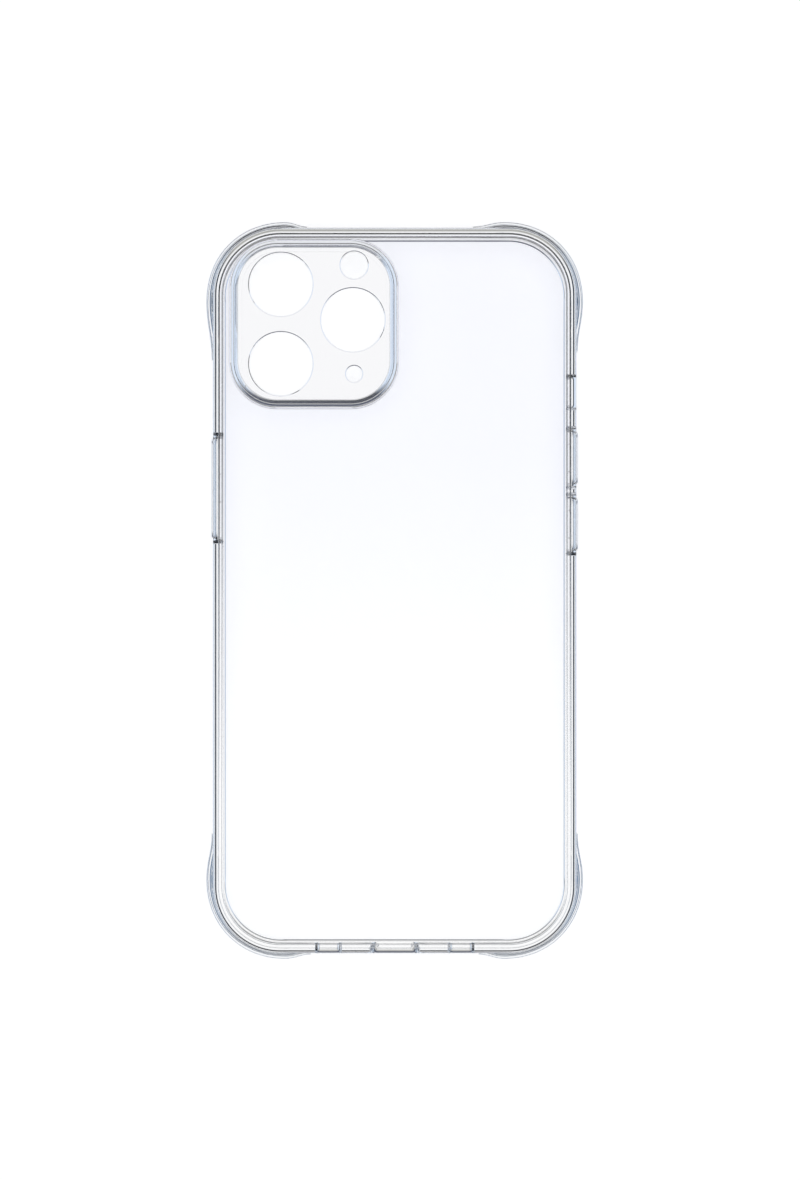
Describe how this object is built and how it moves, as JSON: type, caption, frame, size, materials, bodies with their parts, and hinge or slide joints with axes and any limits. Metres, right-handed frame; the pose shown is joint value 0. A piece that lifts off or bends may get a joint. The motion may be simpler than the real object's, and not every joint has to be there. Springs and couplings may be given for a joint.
{
  "type": "phone case",
  "caption": "Clear shock-absorbing phone case: flexible bumper frame with air-cell corner cushions and side buttons, rigid back plate, and a raised guard round a lens cover.",
  "frame": {"origin": "under the centre of the case, on the plane of the front lip that it lies on", "axes": "+Z out of the back, +Y to the phone's top edge, +X to the right of someone looking at the back"},
  "size_m": [0.0782, 0.153, 0.0126],
  "materials": {
    "flexible_clear": "clear flexible moulding, polished",
    "rigid_clear": "clear rigid sheet, polished",
    "cover_clear": "clear rigid sheet with polished holes"
  },
  "bodies": {
    "case": {"bumper_frame": "flexible_clear", "back_plate": "rigid_clear", "camera_guard": "flexible_clear", "lens_cover": "cover_clear", "corner_cushion_top_left": "flexible_clear", "corner_cushion_top_right": "flexible_clear", "corner_cushion_bottom_left": "flexible_clear", "corner_cushion_bottom_right": "flexible_clear"},
    "power_button": {"power_button": "flexible_clear"},
    "volume_up_button": {"volume_up_button": "flexible_clear"},
    "volume_down_button": {"volume_down_button": "flexible_clear"}
  },
  "joints": [
    {"name": "power_press", "type": "slide", "parent": "case", "child": "power_button", "axis": [1, 0, 0], "range_m": [0, 0.0003], "stiffness_N_per_m": 1500},
    {"name": "volume_up_press", "type": "slide", "parent": "case", "child": "volume_up_button", "axis": [-1, 0, 0], "range_m": [0, 0.0003], "stiffness_N_per_m": 1500},
    {"name": "volume_down_press", "type": "slide", "parent": "case", "child": "volume_down_button", "axis": [-1, 0, 0], "range_m": [0, 0.0003], "stiffness_N_per_m": 1500}
  ]
}
